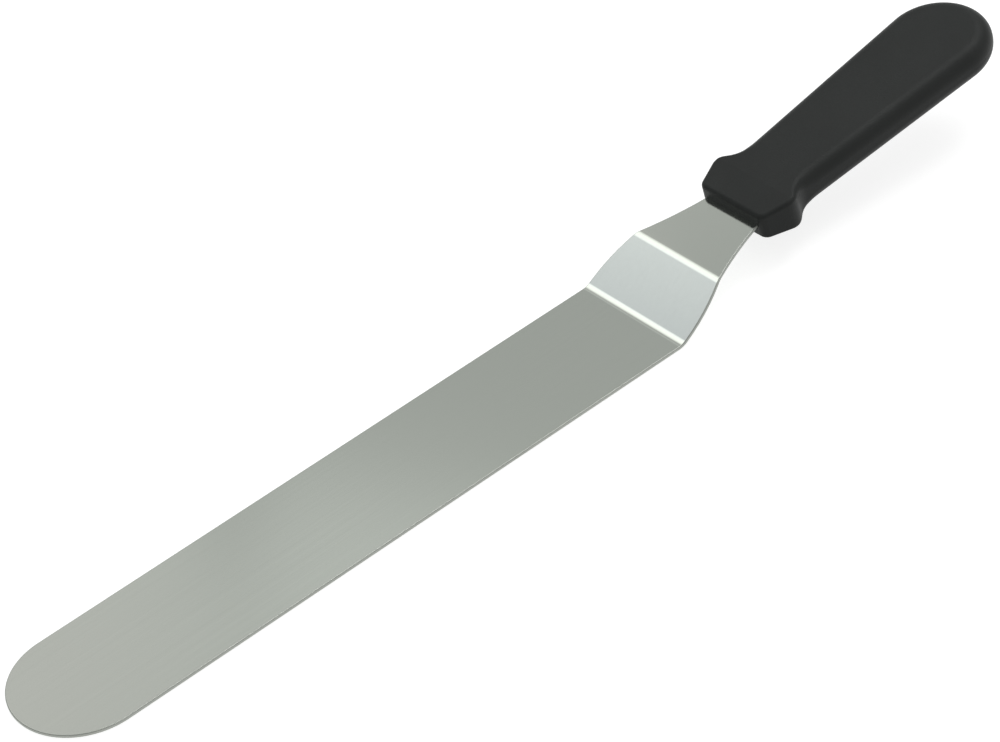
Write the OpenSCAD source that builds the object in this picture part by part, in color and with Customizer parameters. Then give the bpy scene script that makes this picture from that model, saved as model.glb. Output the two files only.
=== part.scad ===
// Cranked palette knife: a spring steel strip bent into a step, with a handle moulded onto its tang.
// Units are millimetres. X runs along the knife from tip to butt, Z is up, and the blade lies flat on z = 0.

/* [Blade] */
// Width of the blade
blade_w = 38; // [30:1:50]
// Length of the flat blade from its round tip to the first fold
blade_len = 200; // [150:5:260]
// Thickness of the steel strip
strip_t = 1; // [0.8:0.1:1.5]

/* [Crank] */
// Sloping length of the riser between the two folds
riser_len = 19.5; // [14:0.5:30]
// Slope of the riser above the blade, in degrees
riser_angle = 30; // [22:1:45]
// Slope of the neck and handle above the blade, in degrees
neck_angle = 7.6; // [2:0.1:14]
// Length of bare neck between the second fold and the handle
neck_len = 20.6; // [15:0.1:26]
// Inside radius of both folds
bend_r = 5; // [1:0.5:8]

/* [Shoulder and tang] */
// Distance from the first fold to where the strip starts to narrow
shoulder_offset = 1.5; // [0:0.5:6]
// Radius of the outward curve that starts the narrowing
shoulder_r = 42; // [30:1:60]
// Radius of the inward curve that ends the narrowing inside the handle
inward_r = 110; // [80:1:140]
// Width of the tang hidden in the handle
tang_w = 15; // [12:0.5:17]
// Diameter of the holes that lock the tang in the moulding
lock_hole_d = 5; // [3:0.5:7]
// Distance from the handle's front face to the first locking hole
lock_hole_at = 32; // [26:1:40]
// Distance between the two locking holes
lock_hole_pitch = 22; // [14:1:28]
// Gap between the steel and the moulding around it
fit_gap = 0.05; // [0.02:0.01:0.15]

/* [Handle plan] */
// Length of the handle from front face to butt
handle_len = 94.9; // [88:0.1:130]
// Plastic left between the tang's end and the butt
tang_end_cover = 24; // [16:1:30]
// Plastic beside the steel at the front face
front_cheek_w = 2.1; // [0.6:0.1:4]
// Width across the collar's two wings, before their tips are rounded
wing_w = 30.6; // [28:0.1:38]
// Distance from the front face to the wings
wing_at = 9.7; // [9:0.1:13]
// Width of the waist behind the wings
waist_w = 23.7; // [21:0.1:27]
// Distance from the front face to the waist
waist_at = 14.4; // [13.6:0.1:22]
// Width of the round butt
butt_w = 31; // [26:0.2:40]
// Radius of the collar's front corners, seen from above
front_corner_r = 2.6; // [2.4:0.1:5]
// Radius of the wing tips, seen from above
wing_tip_r = 4.4; // [3.6:0.1:4.8]
// Radius of the fillet between a wing and the grip, seen from above
waist_fillet_r = 6.5; // [4:0.5:9]

/* [Handle section] */
// Thickness of the handle at its front face
front_t = 8; // [7:0.2:12]
// Thickness of the handle at its wings, where the slope up from the front face ends
grip_t = 10; // [9:0.2:14]
// Thickness of the handle at its butt
butt_t = 10; // [9.6:0.2:16]
// Edge radius round the collar's top
collar_edge_r = 1.2; // [0.8:0.1:2.4]
// Edge radius round the collar's underside
collar_under_r = 1; // [0.8:0.1:2.4]
// Edge radius where the grip begins
grip_edge_r = 3.8; // [2:0.1:4]
// Edge radius at the butt
butt_edge_r = 4.7; // [3:0.1:4.8]
// Length over which the collar's edges change into the grip's
edge_blend_len = 6; // [3:0.5:12]

/* [Hidden] */
$fn = 96;

// Points along each arc of the steel, and along each part of the handle's outline and its rounded edge
bend_steps = 8;
tip_steps = 24;
narrow_steps = 12;
corner_steps = 6;
fillet_steps = 10;
side_steps = 14;
butt_steps = 20;
edge_steps = 6;
// Spare stock that is trimmed away where one shape cuts another
trim = 1;

function unit(v) = v / norm(v);
function heading(angle) = [cos(angle), sin(angle)];
function reversed(list) = [for (i = [len(list) - 1 : -1 : 0]) list[i]];
function arc(centre, r, from, to, steps) =
    [for (i = [0 : steps]) centre + r * heading(from + (to - from) * i / steps)];

// Folds and handle mouth on the strip's upper face, as [x, z] from below the tip
fold_1 = [blade_len, strip_t];
fold_2 = fold_1 + riser_len * heading(riser_angle);
mouth = fold_2 + neck_len * heading(neck_angle);
// Middle of the strip at the handle's front face, where the handle's own axes start
handle_at = mouth - strip_t / 2 * heading(neck_angle + 90);
tang_len = handle_len - tang_end_cover;

// Centres of the two bends: the first lies above the strip and the second below it
bend_1_mid = fold_1 - bend_r * tan(riser_angle / 2) * heading(0) + bend_r * heading(90);
bend_2_r = bend_r + strip_t;
bend_2_start = fold_2 - bend_2_r * tan((riser_angle - neck_angle) / 2) * heading(riser_angle);
bend_2_mid = bend_2_start - bend_2_r * heading(riser_angle + 90);

// Outline of the strip from above: two tangent arcs lead from the blade's edge to the tang's
half_blade = blade_w / 2;
half_tang = tang_w / 2;
narrow_turn = acos(1 - (half_blade - half_tang) / (shoulder_r + inward_r));
shoulder_x = blade_len + shoulder_offset;
tang_x = shoulder_x + (shoulder_r + inward_r) * sin(narrow_turn);
tang_end_x = handle_at[0] + tang_len * cos(neck_angle);
// Half the steel's width at the handle's front face, which the inward arc passes
half_mouth = half_tang + inward_r - sqrt(inward_r ^ 2 - (tang_x - handle_at[0]) ^ 2);

// Key points of one side of the handle's plan, as [along, across]
front_mid = [0, 0];
front_corner = [0, half_mouth + front_cheek_w];
wing_tip = [wing_at, wing_w / 2];
waist = [waist_at, waist_w / 2];
butt_r = butt_w / 2;
butt_mid = [handle_len - butt_r, 0];
// Direction from the butt's centre to where the straight grip side runs into the round butt
waist_way = waist - butt_mid;
butt_turn = atan2(waist_way[1], waist_way[0]) - acos(butt_r / norm(waist_way));
butt_touch = butt_mid + butt_r * heading(butt_turn);
grip_at = waist_at + edge_blend_len;

// Farthest reach of the tilted round butt, which sets the overall length
butt_reach = (handle_len - butt_edge_r) * cos(neck_angle)
    + (butt_t / 2 - butt_edge_r) * sin(neck_angle) + butt_edge_r;
overall_len = handle_at[0] + butt_reach;
overall_h = handle_at[1] + handle_len * sin(neck_angle) + butt_t;

// Side view of the strip: its upper face and then its lower face, each with two arcs
module strip_side() {
    end = handle_at + (tang_len + trim) * heading(neck_angle);
    half_up = strip_t / 2 * heading(neck_angle + 90);
    upper = concat(
        [[-trim, strip_t]],
        arc(bend_1_mid, bend_r, -90, riser_angle - 90, bend_steps),
        arc(bend_2_mid, bend_2_r, riser_angle + 90, neck_angle + 90, bend_steps),
        [end + half_up]);
    lower = concat(
        [[-trim, 0]],
        arc(bend_1_mid, bend_r + strip_t, -90, riser_angle - 90, bend_steps),
        arc(bend_2_mid, bend_2_r - strip_t, riser_angle + 90, neck_angle + 90, bend_steps),
        [end - half_up]);
    polygon(concat(upper, reversed(lower)));
}

// Outline of the strip seen from above, grown outwards all round
module strip_plan(grow = 0) {
    one_side = concat(
        arc([half_blade, 0], half_blade + grow, 180, 90, tip_steps),
        arc([shoulder_x, half_blade - shoulder_r], shoulder_r + grow, 90, 90 - narrow_turn, narrow_steps),
        arc([tang_x, half_tang + inward_r], inward_r - grow, 270 - narrow_turn, 270, narrow_steps),
        arc([tang_end_x - half_tang, 0], half_tang + grow, 90, 0, narrow_steps));
    other_side = [for (i = [len(one_side) - 2 : -1 : 1]) [one_side[i][0], -one_side[i][1]]];
    polygon(concat(one_side, other_side));
}

// Moves a shape from the handle's own axes to the knife's
module at_handle()
    translate([handle_at[0], 0, handle_at[1]])
        rotate([0, -neck_angle, 0])
            children();

// Round bars where the moulding passes through the tang, in the handle's axes
module lock_bars(d)
    for (at = [lock_hole_at, lock_hole_at + lock_hole_pitch])
        translate([at, 0, 0])
            cylinder(d = d, h = strip_t + 2 * trim, center = true);

// Space that the neck and tang take inside the handle
module tang_space()
    intersection() {
        at_handle()
            translate([-trim, -half_blade - trim, -strip_t / 2 - fit_gap])
                cube([tang_len + 2 * trim, blade_w + 2 * trim, strip_t + 2 * fit_gap]);
        linear_extrude(height = overall_h)
            strip_plan(fit_gap);
    }

// Half thickness of the handle, and its edge radius, at a distance from the front face
function ease(t) = let (k = min(max(t, 0), 1)) k * k * (3 - 2 * k);
function half_t(u) = (u < wing_at
    ? front_t + (grip_t - front_t) * u / wing_at
    : grip_t + (butt_t - grip_t) * (u - wing_at) / (handle_len - wing_at)) / 2;
function edge_r(u, collar_r) = collar_r
    + (grip_edge_r - collar_r) * ease((u - wing_at) / (grip_at - wing_at))
    + (butt_edge_r - grip_edge_r) * max(0, u - grip_at) / (handle_len - grip_at);

// Outline pieces are lists of [point, inward direction]
function straight(a, b, steps) =
    let (way = unit(b - a))
    [for (i = [1 : steps - 1]) [a + (b - a) * i / steps, [way[1], -way[0]]]];

// Arc that rounds the corner at b on the way from a to c
function rounded(a, b, c, r, steps) =
    let (to_a = unit(a - b), to_c = unit(c - b), half = acos(to_a * to_c) / 2)
    let (mid = b + unit(to_a + to_c) * r / sin(half), side = sign(cross(b - a, c - b)))
    let (first = b + to_a * r / tan(half) - mid, from = atan2(first[1], first[0]))
    [for (i = [0 : steps])
        let (out = heading(from + side * (180 - 2 * half) * i / steps))
        [mid + r * out, side * out]];

// One side of the handle's plan, from the front corner to the middle of the butt, and then both sides
waist_arc = rounded(wing_tip, waist, butt_touch, waist_fillet_r, fillet_steps);
half_plan = concat(
    rounded(front_mid, front_corner, wing_tip, front_corner_r, corner_steps),
    rounded(front_corner, wing_tip, waist, wing_tip_r, corner_steps),
    waist_arc,
    straight(waist_arc[fillet_steps][0], butt_touch, side_steps),
    [for (i = [0 : butt_steps])
        let (out = heading(butt_turn * (1 - i / butt_steps)))
        [butt_mid + butt_r * out, -out]]);
butt_i = len(half_plan) - 1;
handle_plan = concat(
    half_plan,
    [for (i = [butt_i - 1 : -1 : 0]) [for (v = half_plan[i]) [v[0], -v[1]]]]);

// Point of the handle's surface: the plan drawn in by its rounded edge, tilt degrees up from the side
function edge_point(p, collar_r, side, tilt) =
    let (r = edge_r(p[0][0], collar_r), q = p[0] + p[1] * r * (1 - cos(tilt)))
    [q[0], q[1], side * (half_t(q[0]) - r) + r * sin(tilt)];

// Solid handle: one ring of points per edge step, closed by flat faces above and below
module handle_body() {
    n = len(handle_plan);
    upper = [for (i = [0 : edge_steps], p = handle_plan)
        edge_point(p, collar_edge_r, 1, 90 - 90 * i / edge_steps)];
    lower = [for (i = [0 : edge_steps], p = handle_plan)
        edge_point(p, collar_under_r, -1, -90 * i / edge_steps)];
    rings = 2 * edge_steps + 2;
    walls = [for (k = [0 : rings - 2], i = [0 : n - 1])
        let (a = k * n + i, b = k * n + (i + 1) % n)
        each [[a, b + n, b], [a, a + n, b + n]]];
    // Each flat face is a ladder of triangles between a point and its mirror image
    ladder = [for (i = [0 : butt_i - 1])
        let (j = n - 1 - i)
        each concat([[i, i + 1, j]], i < butt_i - 1 ? [[j, i + 1, j - 1]] : [])];
    last_ring = [for (f = ladder) [f[2], f[1], f[0]] + (rings - 1) * n * [1, 1, 1]];
    polyhedron(points = concat(upper, lower), faces = concat(walls, ladder, last_ring));
}

// One strip of steel: blade, crank, neck and the drilled tang inside the handle
module blade()
    color([0.66, 0.67, 0.65])
        translate([-overall_len / 2, 0, 0])
            difference() {
                intersection() {
                    rotate([90, 0, 0])
                        linear_extrude(height = blade_w + 2 * trim, center = true)
                            strip_side();
                    translate([0, 0, -trim])
                        linear_extrude(height = overall_h + trim)
                            strip_plan();
                }
                at_handle()
                    lock_bars(lock_hole_d);
            }

// Handle moulded round the tang, with two posts through the tang's holes
module handle()
    color([0.18, 0.18, 0.18])
        translate([-overall_len / 2, 0, 0])
            difference() {
                at_handle()
                    handle_body();
                difference() {
                    tang_space();
                    at_handle()
                        lock_bars(lock_hole_d - 2 * fit_gap);
                }
            }

blade();
handle();
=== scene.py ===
"""Cranked palette knife: a satin steel strip bent into a step, and the black handle moulded round its tang.

Lengths are millimetres and angles degrees until a mesh or a lamp is made. The axes are the frame's own:
X runs from the blade's tip to the butt of the handle, Y across the blade, and Z up from the plane that the
blade rests on.
"""
import logging
from collections.abc import Callable
from dataclasses import dataclass
from enum import Enum
from typing import Any, NamedTuple

import bpy
import numpy as np
from mathutils import Matrix, Quaternion, Vector


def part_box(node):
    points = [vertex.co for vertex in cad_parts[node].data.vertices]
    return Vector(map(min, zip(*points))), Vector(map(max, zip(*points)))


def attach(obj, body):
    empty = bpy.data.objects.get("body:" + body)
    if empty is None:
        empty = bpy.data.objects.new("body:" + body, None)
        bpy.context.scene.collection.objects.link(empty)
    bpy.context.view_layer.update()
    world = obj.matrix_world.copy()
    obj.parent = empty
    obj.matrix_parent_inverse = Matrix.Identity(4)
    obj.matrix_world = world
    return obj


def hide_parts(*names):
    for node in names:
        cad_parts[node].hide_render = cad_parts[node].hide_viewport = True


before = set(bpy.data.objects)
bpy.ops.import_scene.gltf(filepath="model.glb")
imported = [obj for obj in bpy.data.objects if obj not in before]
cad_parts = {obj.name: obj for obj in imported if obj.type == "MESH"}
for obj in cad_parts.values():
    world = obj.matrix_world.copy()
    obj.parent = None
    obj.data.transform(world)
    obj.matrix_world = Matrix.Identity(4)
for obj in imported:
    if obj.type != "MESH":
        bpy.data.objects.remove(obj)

LOG = logging.getLogger("palette_knife")
MM = 0.001  # metres in a millimetre
TINY = 0.001  # millimetres that count as nothing
BODY = "root"
RIM = "rim"  # attribute that tells how far a point lies down the rim
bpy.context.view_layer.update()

Array = np.ndarray
Owner = bpy.types.Material | bpy.types.World


class Face(Enum):
    """The two broad faces of a plate, by the sign of their height."""

    UPPER = 1
    LOWER = -1


class Outline(NamedTuple):
    """Points of a plan as rows of (along, across), with unit directions that lead into the piece."""

    points: Array
    inward: Array


class Shape(NamedTuple):
    """Points of a closed surface in millimetres, their outward normals, and the faces between them.

    The share tells how far each point lies down the rim: 0 on the broad faces and 1 halfway between them.
    """

    points: Array
    normals: Array
    faces: list[list[int]]
    share: Array


class Plate(NamedTuple):
    """A rounded plate in its own axes: grids of points and normals as (ring, point, axis), and the faces."""

    points: Array
    normals: Array
    faces: list[list[int]]
    share: Array

    def placed(self, points: Array, normals: Array) -> Shape:
        """Turns the plate into a surface with its points and normals moved into the knife's axes."""
        return Shape(points.reshape(-1, 3), normals.reshape(-1, 3), self.faces, self.share.reshape(-1))


def heading(angle: Array | float) -> Array:
    """Gives the unit vector, or rows of them, that points at an angle in degrees from the first axis."""
    turn = np.radians(angle)
    return np.stack([np.cos(turn), np.sin(turn)], axis=-1)


def direction(bearing: float, height: float) -> tuple[float, float, float]:
    """Points a way by its bearing from +X and its height above the floor, in degrees."""
    level, up = heading(height)
    return (*(float(side) for side in level * heading(bearing)), float(up))


def smooth_step(t: Array) -> Array:
    """Eases from 0 to 1 with level ends: 3 t squared less 2 t cubed, with t held between 0 and 1."""
    k = np.clip(t, 0.0, 1.0)
    return k * k * (3.0 - 2.0 * k)


def unit(rows: Array) -> Array:
    """Scales each row to length 1."""
    return rows / np.linalg.norm(rows, axis=-1, keepdims=True)


def leaned(rows: Array, slope: Array | float) -> Array:
    """Leans rows of (along, across, up) by a slope in degrees: along climbs, and up turns to the tip."""
    run, rise = np.cos(np.radians(slope)), np.sin(np.radians(slope))
    along, across, up = np.moveaxis(rows, -1, 0)
    return np.stack([along * run - up * rise, across, along * rise + up * run], axis=-1)


def arc(centre: Array, radius: float, start: float, end: float, steps: int, hollow: bool = False) -> Outline:
    """Samples a circular arc: the centre plus the radius along a heading that turns evenly from start to end.

    Args:
        centre: Middle of the arc.
        radius: Radius of the arc.
        start: Heading of its first point, in degrees.
        end: Heading of its last point, in degrees.
        steps: Number of equal stretches.
        hollow: True where the piece lies outside the arc.

    Returns:
        The arc's points, with directions to its centre, or away from it on a hollow arc.
    """
    out = heading(np.linspace(start, end, steps + 1))
    return Outline(centre + radius * out, out if hollow else -out)


def corner(before: Array, at: Array, after: Array, radius: float, steps: int) -> Outline:
    """Rounds a corner of a plan whose piece lies on the right: the arc that touches both of its sides.

    Args:
        before: Point that the first side comes from.
        at: The sharp corner.
        after: Point that the second side goes to.
        radius: Radius of the rounding.
        steps: Number of stretches along the arc.

    Returns:
        The arc from one side to the other.
    """
    back, on = unit(before - at), unit(after - at)
    half = np.arccos(np.clip(back @ on, -1.0, 1.0)) / 2.0
    centre = at + unit(back + on) * radius / np.sin(half)
    first = at + back * radius / np.tan(half) - centre
    start = np.degrees(np.arctan2(first[1], first[0]))
    side = np.sign(np.cross(at - before, after - at))
    return arc(centre, radius, start, start + side * (180.0 - 2.0 * np.degrees(half)), steps, hollow=side > 0)


def straight(start: Array, end: Array, steps: int) -> Outline:
    """Samples the inside of a straight side evenly, without its ends; the piece lies on the right."""
    way = unit(end - start)
    share = np.linspace(0.0, 1.0, steps + 1)[1:-1, None]
    return Outline(start + (end - start) * share, np.tile([way[1], -way[0]], (steps - 1, 1)))


def joined(*parts: Outline) -> Outline:
    """Puts outlines end to end."""
    return Outline(np.concatenate([p.points for p in parts]), np.concatenate([p.inward for p in parts]))


def mirrored_plate(half: Outline, heights: Array) -> tuple[list[list[int]], Outline]:
    """Closes half of a plan by its mirror image and lists the faces of a plate with that many rings.

    The rings go down the rounded rim from the upper face to the lower. Neighbouring points of neighbouring
    rings make the rim's four-sided faces, and rungs between a point and its mirror image make the two broad
    faces.

    Args:
        half: Outline of the left half, whose last point lies on the middle line, and maybe its first.
        heights: One entry for each ring.

    Returns:
        The faces as lists of point numbers, ring after ring, and the whole closed outline.
    """
    flip = np.array([1.0, -1.0])
    tip = int(abs(half.points[0, 1]) < TINY)
    back = slice(-2, None if not tip else 0, -1)
    whole = Outline(
        np.concatenate([half.points, half.points[back] * flip]),
        np.concatenate([half.inward, half.inward[back] * flip]),
    )
    count, rings = len(whole.points), len(heights)
    at = np.arange(count)
    ring = np.stack([at, np.roll(at, -1), np.roll(at, -1) + count, at + count], axis=1)
    rim = (ring[None] + count * np.arange(rings - 1)[:, None, None]).reshape(-1, 4)
    left = np.arange(len(half.points))
    right = (count - 1 + tip - left) % count
    rungs = np.stack([left[:-1], right[:-1], right[1:], left[1:]], axis=1)
    lower = rungs[:, ::-1] + count * (rings - 1)
    faces = [list(dict.fromkeys(row)) for row in np.concatenate([rim, rungs, lower]).tolist()]
    return faces, whole


def rim_angles(steps: int) -> tuple[Array, Array]:
    """Gives the tilt of each ring above the rim's middle, and the face it belongs to, downwards."""
    upper = np.linspace(90.0, 0.0, steps + 1)
    faces = np.repeat([Face.UPPER.value, Face.LOWER.value], steps + 1)
    return np.concatenate([upper, -upper[::-1]]), faces


def rounded_plate(
    half: Outline, radius: Callable[[Face, Array], Array], half_t: Callable[[Array], Array], steps: int,
) -> Plate:
    """Gives a plan a thickness and a rounded rim, in the plate's own axes.

    A ring at a tilt is the outline drawn in by the rim's radius times one less the cosine of the tilt. It
    stands at half the thickness less the radius, plus the radius times the sine of the tilt. A normal is
    square to the way round the ring and to the way down the rim, which leans with the broad face's slope.

    Args:
        half: Outline of the left half of the plan.
        radius: Function of the face and of the distance along that gives the rim's radius.
        half_t: Function of the distance along that gives half the thickness.
        steps: Number of stretches round each of the rim's two edges.

    Returns:
        The plate, in along, across and up.
    """
    tilt, side = rim_angles(steps)
    faces, plan = mirrored_plate(half, tilt)
    start, side = plan.points[:, 0], side[:, None]
    edge = np.where(side > 0, radius(Face.UPPER, start), radius(Face.LOWER, start))
    cos, sin = np.cos(np.radians(tilt))[:, None], np.sin(np.radians(tilt))[:, None]
    flat = plan.points + plan.inward * (edge * (1.0 - cos))[..., None]
    along = flat[..., 0]
    height = side * (half_t(along) - edge) + edge * sin
    rows = np.concatenate([flat, height[..., None]], axis=-1)
    slope = side * (half_t(along + TINY) - half_t(along - TINY)) / (2.0 * TINY)
    fall = -cos - slope * plan.inward[:, 0] * sin
    down = np.concatenate([-plan.inward * sin[..., None], fall[..., None]], axis=-1)
    ahead = np.roll(rows, -1, axis=1) - np.roll(rows, 1, axis=1)
    return Plate(rows, unit(np.cross(ahead, down)), faces, np.broadcast_to(cos, height.shape))


@dataclass(frozen=True)
class Crank:
    """The bent line that the strip follows from below: flat blade, fold, riser, fold, straight neck."""

    blade_len: float = 200.0
    strip_t: float = 1.0
    riser_len: float = 19.5
    riser_angle: float = 30.0
    neck_angle: float = 7.6
    neck_len: float = 20.6
    bend_r: float = 5.0

    @property
    def fold_1(self) -> Array:
        """First fold on the upper face, as (along, up) from below the tip."""
        return np.array([self.blade_len, self.strip_t])

    @property
    def fold_2(self) -> Array:
        """Second fold on the upper face."""
        return self.fold_1 + self.riser_len * heading(self.riser_angle)

    @property
    def handle_at(self) -> Array:
        """Middle of the strip at the handle's front face, where the handle's own axes start."""
        mouth = self.fold_2 + self.neck_len * heading(self.neck_angle)
        return mouth - self.strip_t / 2.0 * heading(self.neck_angle + 90.0)

    @property
    def mid_r(self) -> float:
        """Radius of both bends at the middle of the strip's thickness."""
        return self.bend_r + self.strip_t / 2.0

    @property
    def bends(self) -> tuple[Array, Array]:
        """Centre of the first bend, which lies above the strip, and of the second, which lies below."""
        reach = self.bend_r * np.tan(np.radians(self.riser_angle / 2.0))
        first = self.fold_1 - [reach, 0.0] + [0.0, self.bend_r]
        outer_r = self.bend_r + self.strip_t
        back = outer_r * np.tan(np.radians((self.riser_angle - self.neck_angle) / 2.0))
        second = self.fold_2 - back * heading(self.riser_angle) - outer_r * heading(self.riser_angle + 90.0)
        return first, second

    def stretches(self, bend_steps: int) -> Array:
        """Gives the distances from the tip where the bends need points: even steps of each bend's angle."""
        first, second = self.bends
        up = np.linspace(0.0, self.riser_angle, bend_steps + 1)
        level = np.linspace(self.riser_angle, self.neck_angle, bend_steps + 1)
        rise, fall = np.sin(np.radians(up)), np.sin(np.radians(level))
        return np.concatenate([first[0] + self.mid_r * rise, second[0] - self.mid_r * fall])

    def follow(self, along: Array) -> tuple[Array, Array]:
        """Finds the middle of the strip's thickness above given distances from the tip.

        Each bend is a circle: its slope is the arcsine of the distance from its centre over its radius.
        Between the bends the height grows by the distance times the tangent of the slope.

        Args:
            along: Distances from the tip, seen from above.

        Returns:
            Heights, and slopes in degrees.
        """
        (x_1, z_1), (x_2, z_2) = self.bends
        steep, gentle = np.radians([self.riser_angle, self.neck_angle])
        high, low = np.sin([steep, gentle])
        turn_1 = np.arcsin(np.clip((along - x_1) / self.mid_r, 0.0, high))
        turn_2 = np.arcsin(np.clip((x_2 - along) / self.mid_r, low, high))
        end_1 = x_1 + self.mid_r * high
        start_2, end_2 = x_2 - self.mid_r * high, x_2 - self.mid_r * low
        bend_1 = z_1 - self.mid_r * np.cos(turn_1)
        bend_2 = z_2 + self.mid_r * np.cos(turn_2)
        riser = z_1 - self.mid_r * np.cos(steep) + (along - end_1) * np.tan(steep)
        neck = z_2 + self.mid_r * np.cos(gentle) + (along - end_2) * np.tan(gentle)
        where = [along < end_1, along < start_2, along < end_2]
        height = np.select(where, [bend_1, riser, bend_2], neck)
        slope = np.degrees(np.select(where, [turn_1, np.full_like(along, steep), turn_2], gentle))
        flat = along < x_1
        return np.where(flat, self.strip_t / 2.0, height), np.where(flat, 0.0, slope)


def linear(code: str) -> tuple[float, float, float, float]:
    """Turns an sRGB hex code into a linear colour with full opacity."""
    part = np.array([int(code[i:i + 2], 16) for i in (1, 3, 5)]) / 255.0
    value = np.where(part <= 0.04045, part / 12.92, ((part + 0.055) / 1.055) ** 2.4)
    return (*value.tolist(), 1.0)


def new_material(name: str) -> tuple[bpy.types.Material, bpy.types.Node]:
    """Makes a material with its principled shader, and returns both."""
    made = bpy.data.materials.new(name)
    made.use_nodes = True
    return made, made.node_tree.nodes["Principled BSDF"]


def link(made: Owner, output: bpy.types.NodeSocket, socket: bpy.types.NodeSocket) -> None:
    """Joins two sockets of a material or a world."""
    made.node_tree.links.new(output, socket)


def add_node(
    made: Owner, kind: str, inputs: dict[str | int, Any] | None = None, **settings: Any,
) -> bpy.types.Node:
    """Adds a node with its settings, its values and its links.

    Args:
        made: Material or world that owns the tree.
        kind: Blender's name for the node.
        inputs: Values or other nodes' outputs, by input name or number.
        settings: Properties of the node itself.

    Returns:
        The new node.
    """
    node = made.node_tree.nodes.new(kind)
    for name, value in settings.items():
        setattr(node, name, value)
    for name, value in (inputs or {}).items():
        usable = [s for s in node.inputs if s.name == name and s.enabled]
        socket = node.inputs[name] if isinstance(name, int) else usable[0]
        if isinstance(value, bpy.types.NodeSocket):
            link(made, value, socket)
        else:
            socket.default_value = value
    return node


def new_piece(name: str, shape: Shape, finish: bpy.types.Material) -> bpy.types.Object:
    """Writes a closed surface into a mesh object at the origin.

    Args:
        name: Name of the piece.
        shape: Surface in millimetres.
        finish: Material of the whole piece.

    Returns:
        The new object, linked to the scene.
    """
    mesh = bpy.data.meshes.new(name)
    mesh.from_pydata((shape.points * MM).tolist(), [], shape.faces)
    mesh.shade_smooth()
    mesh.normals_split_custom_set_from_vertices(shape.normals.tolist())
    mesh.attributes.new(RIM, "FLOAT", "POINT").data.foreach_set("value", shape.share)
    mesh.materials.append(finish)
    piece = bpy.data.objects.new(name, mesh)
    bpy.context.scene.collection.objects.link(piece)
    return piece


@dataclass(frozen=True)
class BrushedStainless:
    """Satin stainless strip: fine grinding lines along the blade soften its reflections into a grey sheen.

    The sheared edges were left duller than the ground faces, and their colour is darkened further as painted
    shade for the shaded edge face, so they read as a darker line round the blade.
    They start and are full at two shares of the way down the rim. Lengths are in millimetres.
    """

    colour: str = "#CDD2CA"
    line_colour: str = "#C9CEC6"
    # darker rim colour: partly the duller sheared edge, partly painted shade on the edge face
    dull_edge_and_shade_colour: str = "#A6A9A3"
    roughness: float = 0.12
    roughness_play: float = 0.015
    edge_roughness: float = 0.55
    line_gap: float = 0.9
    line_len: float = 70.0
    line_detail: float = 2.0
    edge_from: float = 0.08
    edge_full: float = 0.3

    def material(self) -> bpy.types.Material:
        """Builds the node tree.

        Lines are noise drawn out along X: one line gap across and a line length along. Real grinding lines
        are a tenth of that and too fine to show. They vary the tone and the gloss of the faces.

        Returns:
            The finished material.
        """
        made, shader = new_material("brushed_stainless_steel")
        place = add_node(made, "ShaderNodeTexCoord")
        shrink = tuple(1.0 / (size * MM) for size in (self.line_len, self.line_gap, self.line_gap))
        lay = add_node(made, "ShaderNodeMapping", {"Vector": place.outputs["Object"], "Scale": shrink})
        lines = add_node(
            made, "ShaderNodeTexNoise",
            {"Vector": lay.outputs[0], "Scale": 1.0, "Detail": self.line_detail},
        )
        rim = add_node(made, "ShaderNodeAttribute", attribute_name=RIM)
        edge = add_node(
            made, "ShaderNodeMapRange",
            {"Value": rim.outputs["Fac"], "From Min": self.edge_from, "From Max": self.edge_full},
        )
        face = add_node(
            made, "ShaderNodeMix",
            {"Factor": lines.outputs[0], "A": linear(self.colour), "B": linear(self.line_colour)},
            data_type="RGBA",
        )
        # darkens the rim towards the edge colour: painted shade on the edge face, besides its duller finish
        tone = add_node(
            made, "ShaderNodeMix",
            {"Factor": edge.outputs[0], "A": face.outputs["Result"], "B": linear(self.dull_edge_and_shade_colour)},
            data_type="RGBA",
        )
        sheen = add_node(
            made, "ShaderNodeMapRange",
            {
                "Value": lines.outputs[0],
                "To Min": self.roughness - self.roughness_play,
                "To Max": self.roughness + self.roughness_play,
            },
        )
        gloss = add_node(
            made, "ShaderNodeMix",
            {"Factor": edge.outputs[0], "A": sheen.outputs[0], "B": self.edge_roughness},
        )
        shader.inputs["Metallic"].default_value = 1.0
        link(made, tone.outputs["Result"], shader.inputs["Base Color"])
        link(made, gloss.outputs["Result"], shader.inputs["Roughness"])
        return made


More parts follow.
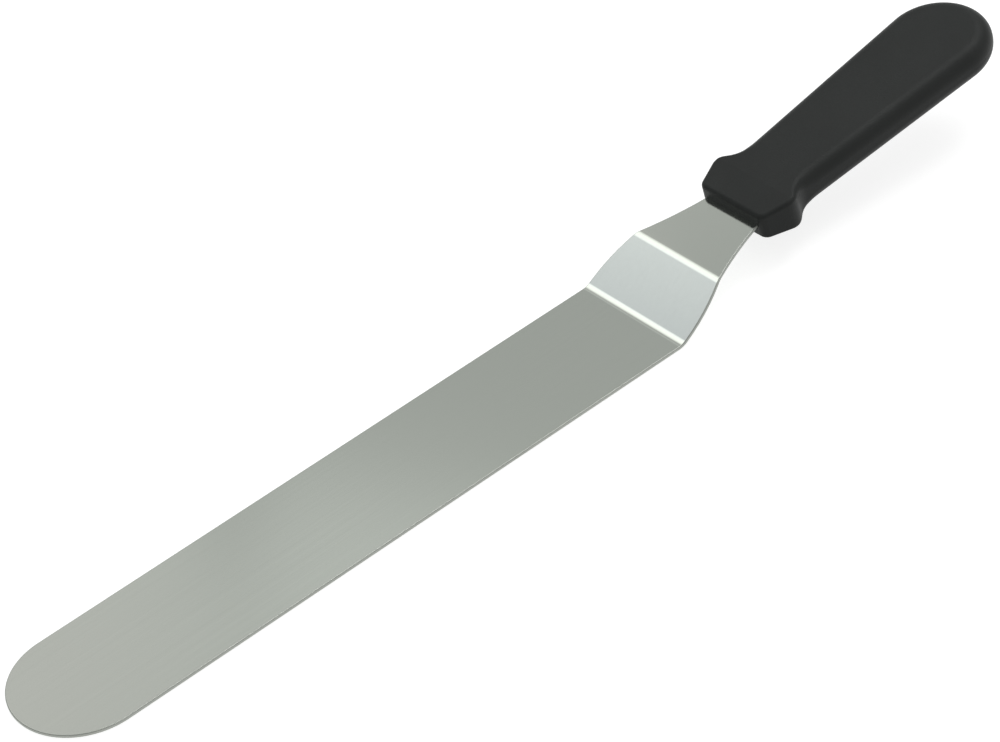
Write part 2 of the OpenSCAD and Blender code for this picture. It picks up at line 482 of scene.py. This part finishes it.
@dataclass(frozen=True)
class MouldedPolypropylene:
    """Black polypropylene from a spark-textured mould: a matt skin of fine grains, a little uneven in tone.

    Grains and clouds are millimetres wide.
    """

    colour: str = "#2A2C2B"
    worn_colour: str = "#303231"
    roughness: float = 0.45
    roughness_play: float = 0.05
    ior: float = 1.49
    specular: float = 0.13
    grain: float = 0.45
    grain_detail: float = 2.0
    cloud: float = 14.0
    cloud_detail: float = 3.0
    bump: float = 0.12

    def material(self) -> bpy.types.Material:
        """Builds the node tree: grains raise the surface, and slow clouds vary its tone and gloss.

        Returns:
            The finished material.
        """
        made, shader = new_material("moulded_black_polypropylene")
        place = add_node(made, "ShaderNodeTexCoord")
        grain = add_node(
            made, "ShaderNodeTexNoise",
            {
                "Vector": place.outputs["Object"],
                "Scale": 1.0 / (self.grain * MM),
                "Detail": self.grain_detail,
            },
        )
        cloud = add_node(
            made, "ShaderNodeTexNoise",
            {
                "Vector": place.outputs["Object"],
                "Scale": 1.0 / (self.cloud * MM),
                "Detail": self.cloud_detail,
            },
        )
        tone = add_node(
            made, "ShaderNodeMix",
            {"Factor": cloud.outputs[0], "A": linear(self.colour), "B": linear(self.worn_colour)},
            data_type="RGBA",
        )
        gloss = add_node(
            made, "ShaderNodeMapRange",
            {
                "Value": cloud.outputs[0],
                "To Min": self.roughness + self.roughness_play,
                "To Max": self.roughness - self.roughness_play,
            },
        )
        relief = add_node(
            made, "ShaderNodeBump",
            {"Height": grain.outputs[0], "Strength": self.bump, "Distance": self.grain * MM},
        )
        shader.inputs["IOR"].default_value = self.ior
        shader.inputs["Specular IOR Level"].default_value = self.specular
        link(made, tone.outputs["Result"], shader.inputs["Base Color"])
        link(made, gloss.outputs[0], shader.inputs["Roughness"])
        link(made, relief.outputs[0], shader.inputs["Normal"])
        return made


@dataclass(frozen=True)
class WhitePaper:
    """Matt white paper under the knife, lifted to plain white where the eye or a reflection meets it."""

    colour: str = "#B0B0B0"
    lift: float = 0.8

    def material(self) -> bpy.types.Material:
        """Builds the node tree: a matt diffuse skin, with a little glow on camera and mirror rays.

        Returns:
            The finished material.
        """
        made, shader = new_material("matt_white_paper")
        path = add_node(made, "ShaderNodeLightPath")
        seen = add_node(
            made, "ShaderNodeMath",
            {0: path.outputs["Is Camera Ray"], 1: path.outputs["Is Glossy Ray"]}, operation="MAXIMUM",
        )
        shown = add_node(
            made, "ShaderNodeMath",
            {0: seen.outputs[0], 1: path.outputs["Is Transmission Ray"]}, operation="MAXIMUM",
        )
        glow = add_node(made, "ShaderNodeMath", {0: shown.outputs[0], 1: self.lift}, operation="MULTIPLY")
        shader.inputs["Base Color"].default_value = linear(self.colour)
        shader.inputs["Roughness"].default_value = 1.0
        shader.inputs["Specular IOR Level"].default_value = 0.0
        shader.inputs["Emission Color"].default_value = linear("#FFFFFF")
        link(made, glow.outputs[0], shader.inputs["Emission Strength"])
        return made


@dataclass(frozen=True)
class Blade:
    """The steel strip: round tip, straight sides, a shoulder that narrows through the crank, and the tang."""

    crank: Crank
    tip_x: float
    width: float
    shoulder_offset: float = 1.5
    shoulder_r: float = 42.0
    inward_r: float = 110.0
    tang_w: float = 15.0
    tang_len: float = 70.9
    edge_r: float = 0.3
    tip_steps: int = 48
    bend_steps: int = 20
    side_step: float = 2.5
    edge_steps: int = 5

    @property
    def narrowing(self) -> tuple[float, float]:
        """Where the strip starts to narrow and where it has become the tang, as distances from the tip."""
        fall = (self.width - self.tang_w) / 2.0
        turn = np.arccos(1.0 - fall / (self.shoulder_r + self.inward_r))
        start = self.crank.blade_len + self.shoulder_offset
        return start, start + (self.shoulder_r + self.inward_r) * np.sin(turn)

    def half_width(self, along: Array) -> Array:
        """Gives half the strip's width behind its tip: straight, an outward arc, an inward arc, then the tang.

        Args:
            along: Distances from the tip.

        Returns:
            Half widths.
        """
        start, end = self.narrowing
        meet = start + (end - start) * self.shoulder_r / (self.shoulder_r + self.inward_r)
        out = np.clip(along - start, 0.0, self.shoulder_r)
        outward = self.width / 2.0 - self.shoulder_r + np.sqrt(self.shoulder_r**2 - out**2)
        back = np.clip(end - along, 0.0, self.inward_r)
        inward = self.tang_w / 2.0 + self.inward_r - np.sqrt(self.inward_r**2 - back**2)
        return np.where(along < meet, outward, inward)

    def outline(self) -> Outline:
        """Draws the left half of the plan from the tip to the tang's round end.

        Returns:
            Points and inward directions.
        """
        nose = self.width / 2.0
        tip = arc(np.array([nose, 0.0]), nose, 180.0, 90.0, self.tip_steps)
        tail_r = self.tang_w / 2.0
        last = self.crank.handle_at[0] + self.tang_len * np.cos(np.radians(self.crank.neck_angle)) - tail_r
        tail = arc(np.array([last, 0.0]), tail_r, 90.0, 0.0, self.tip_steps // 2)
        even = np.arange(nose + self.side_step, last - self.side_step, self.side_step)
        along = np.unique(np.concatenate([even, self.crank.stretches(self.bend_steps)]).round(4))
        across = self.half_width(along)
        way = unit(np.stack([np.gradient(along), np.gradient(across)], axis=1))
        side = Outline(np.stack([along, across], axis=1), np.stack([way[:, 1], -way[:, 0]], axis=1))
        return joined(tip, side, tail)

    def shape(self) -> Shape:
        """Wraps the flat plate round the crank.

        A point stands off the bent middle line, square to it, by its height within the strip's thickness.

        Returns:
            The closed surface.
        """
        plate = rounded_plate(
            self.outline(), lambda face, along: np.full_like(along, self.edge_r),
            lambda along: np.full_like(along, self.crank.strip_t / 2.0), self.edge_steps,
        )
        along, across = plate.points[..., 0], plate.points[..., 1]
        middle, slope = self.crank.follow(along)
        start = np.stack([along + self.tip_x, across, middle], axis=-1)
        lift = plate.points * [0.0, 0.0, 1.0]
        return plate.placed(start + leaned(lift, slope), leaned(plate.normals, slope))

    def build(self, finish: BrushedStainless) -> bpy.types.Object:
        """Makes the strip in place of its solid and dresses it.

        Args:
            finish: Finish of the steel.

        Returns:
            The finished piece.
        """
        piece = new_piece("steel_strip", self.shape(), finish.material())
        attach(piece, BODY)
        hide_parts("blade")
        return piece


@dataclass(frozen=True)
class Handle:
    """The moulding: a six-sided collar with rounded wings, a waist, and a grip that widens to a round butt.

    The length and the butt's thickness stay a hair inside the solid's, so that the smooth butt keeps to its
    box.
    """

    crank: Crank
    tip_x: float
    mouth_half: float
    front_cheek_w: float = 2.1
    length: float = 94.85
    wing_w: float = 30.6
    wing_at: float = 9.7
    waist_w: float = 23.7
    waist_at: float = 14.4
    butt_w: float = 31.0
    front_corner_r: float = 2.6
    wing_tip_r: float = 4.4
    waist_fillet_r: float = 6.5
    front_t: float = 8.0
    grip_t: float = 10.0
    butt_t: float = 9.93
    collar_edge_r: float = 1.2
    collar_under_r: float = 1.0
    grip_edge_r: float = 3.8
    butt_edge_r: float = 4.7
    edge_blend_len: float = 6.0
    corner_steps: int = 12
    side_steps: int = 48
    butt_steps: int = 48
    edge_steps: int = 12

    def outline(self) -> Outline:
        """Draws the left half of the plan from the front corner to the middle of the butt.

        Returns:
            Points and inward directions.
        """
        front = np.array([0.0, self.mouth_half + self.front_cheek_w])
        wing = np.array([self.wing_at, self.wing_w / 2.0])
        waist = np.array([self.waist_at, self.waist_w / 2.0])
        butt_r = self.butt_w / 2.0
        centre = np.array([self.length - butt_r, 0.0])
        way = waist - centre
        turn = np.degrees(np.arctan2(way[1], way[0]) - np.arccos(butt_r / np.linalg.norm(way)))
        touch = centre + butt_r * heading(turn)
        nose = corner(np.zeros(2), front, wing, self.front_corner_r, self.corner_steps)
        tip = corner(front, wing, waist, self.wing_tip_r, self.corner_steps)
        fillet = corner(wing, waist, touch, self.waist_fillet_r, self.corner_steps)
        return joined(
            nose,
            straight(nose.points[-1], tip.points[0], self.corner_steps),
            tip,
            fillet,
            straight(fillet.points[-1], touch, self.side_steps),
            arc(centre, butt_r, turn, 0.0, self.butt_steps),
        )

    def edge_radius(self, face: Face, along: Array) -> Array:
        """Gives the rim's radius: tight on the collar, eased into the grip's, then growing to the butt's.

        Args:
            face: The broad face that the rim meets.
            along: Distances from the front face.

        Returns:
            Radii.
        """
        collar_r = self.collar_edge_r if face is Face.UPPER else self.collar_under_r
        grip_at = self.waist_at + self.edge_blend_len
        eased = smooth_step((along - self.wing_at) / (grip_at - self.wing_at))
        grown = np.clip(along - grip_at, 0.0, None) / (self.length - grip_at)
        rise, growth = self.grip_edge_r - collar_r, self.butt_edge_r - self.grip_edge_r
        return collar_r + rise * eased + growth * grown

    def half_thickness(self, along: Array) -> Array:
        """Gives half the distance between the broad faces: they part up to the wings and run on to the butt.

        Args:
            along: Distances from the front face.

        Returns:
            Half thicknesses.
        """
        nose = self.front_t + (self.grip_t - self.front_t) * along / self.wing_at
        share = (along - self.wing_at) / (self.length - self.wing_at)
        grip = self.grip_t + (self.butt_t - self.grip_t) * share
        return np.where(along < self.wing_at, nose, grip) / 2.0

    def shape(self) -> Shape:
        """Leans the rounded plate by the neck's angle, from the middle of the strip at its front face.

        Returns:
            The closed surface.
        """
        plate = rounded_plate(self.outline(), self.edge_radius, self.half_thickness, self.edge_steps)
        start = [self.tip_x + self.crank.handle_at[0], 0.0, self.crank.handle_at[1]]
        slope = self.crank.neck_angle
        return plate.placed(start + leaned(plate.points, slope), leaned(plate.normals, slope))

    def build(self, finish: MouldedPolypropylene) -> bpy.types.Object:
        """Makes the moulding in place of its solid and dresses it.

        Args:
            finish: Finish of the plastic.

        Returns:
            The finished piece.
        """
        piece = new_piece("moulded_handle", self.shape(), finish.material())
        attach(piece, BODY)
        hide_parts("handle")
        return piece


class Softbox(NamedTuple):
    """A soft lamp seen from the knife, in degrees: bearing from +X, height, size, turn about its axis."""

    name: str
    bearing: float
    height: float
    wide: float
    tall: float
    brightness: float
    tilt: float = 0.0


class Glow(NamedTuple):
    """A soft round patch of bright wall: where it is, the angles at which it is full and gone, and its light.

    Angles are degrees as seen from the knife, and the light is a linear colour.
    """

    bearing: float
    height: float
    full: float
    gone: float
    light: tuple[float, float, float]


@dataclass(frozen=True)
class Studio:
    """Camera, soft lamps, sky and white floor.

    The eye is a place in millimetres, and right and ahead are the camera's directions. The lamps hang at one
    distance, and the floor lies a hair under the blade.
    """

    image_w: float = 1000.0
    focal_px: float = 3600.0
    sensor: float = 36.0
    eye: tuple[float, float, float] = (-417.94, -589.72, 590.20)
    right: tuple[float, float, float] = (0.75085, -0.64726, -0.13141)
    ahead: tuple[float, float, float] = (0.44165, 0.63999, -0.62877)
    floor_half: float = 4000.0
    floor_drop: float = 0.2
    room_dim: float = 0.26
    distance: float = 6000.0
    glows: tuple[Glow, ...] = (
        # broad pale wall behind the knife, which all of the steel mirrors
        Glow(105.0, 35.0, 53.0, 107.0, (0.26, 0.267, 0.263)),
        # bright lamp head, which both folds draw out into white lines
        Glow(93.5, 49.0, 2.0, 18.7, (1.15, 1.15, 1.13)),
        # cool patch, which gives the riser its bluish tone
        Glow(118.0, 47.0, 5.0, 16.0, (0.04, 0.05, 0.12)),
        # fill from the front right, for the near sides of the handle
        Glow(-60.0, 0.0, 20.0, 60.0, (0.5, 0.5, 0.5)),
        # faint warm patch beside the neck's reflection
        Glow(73.0, 42.0, 4.0, 9.0, (0.03, 0.005, 0.01)),
    )
    lamps: tuple[Softbox, ...] = (
        # mirrored by the blade, lighter towards the tip
        Softbox("rear_strip", 57.6, 43.0, 7.6, 3.7, 0.255, -24.6),
        Softbox("rear_panel", 70.5, 41.0, 11.0, 10.0, 0.185),
        # light from above, and a smaller lamp for the soft line along the grip's upper edge
        Softbox("overhead_softbox", -10.0, 74.0, 70.0, 70.0, 0.24),
        Softbox("edge_light", 12.0, 60.0, 30.0, 30.0, 3.3),
    )

    def camera(self) -> bpy.types.Object:
        """Sets the camera at the photograph's viewpoint, with its roll.

        Returns:
            The camera.
        """
        data = bpy.data.cameras.new("camera")
        data.sensor_width = self.sensor
        data.lens = self.focal_px / self.image_w * self.sensor
        made = bpy.data.objects.new("camera", data)
        bpy.context.scene.collection.objects.link(made)
        back = -Vector(self.ahead).normalized()
        side = Vector(self.right).normalized()
        above = back.cross(side).normalized()
        side = above.cross(back)
        turn = Matrix((side, above, back)).transposed().to_4x4()
        made.matrix_world = Matrix.Translation(Vector(self.eye) * MM) @ turn
        bpy.context.scene.camera = made
        return made

    def lamp(self, box: Softbox) -> bpy.types.Object:
        """Hangs one soft lamp that faces the middle of the knife.

        Its power is its brightness times its area times pi.

        Args:
            box: Where it hangs, its size and its brightness.

        Returns:
            The lamp.
        """
        data = bpy.data.lights.new(box.name, "AREA")
        data.shape = "RECTANGLE"
        half = np.tan(np.radians([box.wide / 2.0, box.tall / 2.0]))
        data.size, data.size_y = 2.0 * self.distance * MM * half
        data.energy = box.brightness * data.size * data.size_y * np.pi
        made = bpy.data.objects.new(box.name, data)
        bpy.context.scene.collection.objects.link(made)
        away = Vector(direction(box.bearing, box.height))
        made.location = away * self.distance * MM
        made.rotation_mode = "QUATERNION"
        turn = Quaternion((0.0, 0.0, 1.0), np.radians(box.tilt))
        made.rotation_quaternion = (-away).to_track_quat("-Z", "Y") @ turn
        made.visible_camera = False
        return made

    def floor(self, finish: WhitePaper) -> bpy.types.Object:
        """Lays the floor just under the blade.

        Args:
            finish: Finish of the floor.

        Returns:
            The floor.
        """
        corners = np.array([[-1.0, -1.0], [1.0, -1.0], [1.0, 1.0], [-1.0, 1.0]]) * self.floor_half
        points = np.column_stack([corners, np.full(4, -self.floor_drop)])
        face = Shape(points, np.tile([0.0, 0.0, 1.0], (4, 1)), [[0, 1, 2, 3]], np.zeros(4))
        made = new_piece("floor", face, finish.material())
        return made

    def build(self) -> None:
        """Makes the whole studio and sets plain colour."""
        self.camera()
        for box in self.lamps:
            self.lamp(box)
        self.floor(WhitePaper())
        self.sky()
        bpy.context.scene.view_settings.view_transform = "Standard"

    def sky(self) -> bpy.types.World:
        """Lights the room: dim all round, with glows added by how near a direction lies to each one's middle.

        Returns:
            The world.
        """
        world = bpy.data.worlds.new("studio_room")
        world.use_nodes = True
        way = add_node(world, "ShaderNodeTexCoord").outputs["Generated"]
        total: Any = (self.room_dim,) * 3
        for glow in self.glows:
            axis = direction(glow.bearing, glow.height)
            near = add_node(world, "ShaderNodeVectorMath", {0: way, 1: axis}, operation="DOT_PRODUCT")
            share = add_node(
                world, "ShaderNodeMapRange",
                {
                    "Value": near.outputs["Value"],
                    "From Min": float(np.cos(np.radians(glow.gone))),
                    "From Max": float(np.cos(np.radians(glow.full))),
                },
                interpolation_type="SMOOTHSTEP",
            )
            added = add_node(
                world, "ShaderNodeVectorMath",
                {0: glow.light, "Scale": share.outputs[0]}, operation="SCALE",
            )
            both = add_node(
                world, "ShaderNodeVectorMath", {0: added.outputs[0], 1: total}, operation="ADD",
            )
            total = both.outputs[0]
        link(world, total, world.node_tree.nodes["Background"].inputs["Color"])
        bpy.context.scene.world = world
        return world


def main() -> None:
    """Builds the studio and both pieces."""
    logging.basicConfig(level=logging.INFO, format="%(name)s: %(message)s")
    low, high = (np.array(side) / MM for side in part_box("blade"))
    crank = Crank()
    blade = Blade(crank, tip_x=low[0], width=high[1] - low[1])
    mouth = float(blade.half_width(crank.handle_at[:1])[0])
    handle = Handle(crank, tip_x=low[0], mouth_half=mouth)
    Studio().build()
    for piece in (blade.build(BrushedStainless()), handle.build(MouldedPolypropylene())):
        LOG.info("%s: %d faces", piece.name, len(piece.data.polygons))


if __name__ == "__main__":
    main()
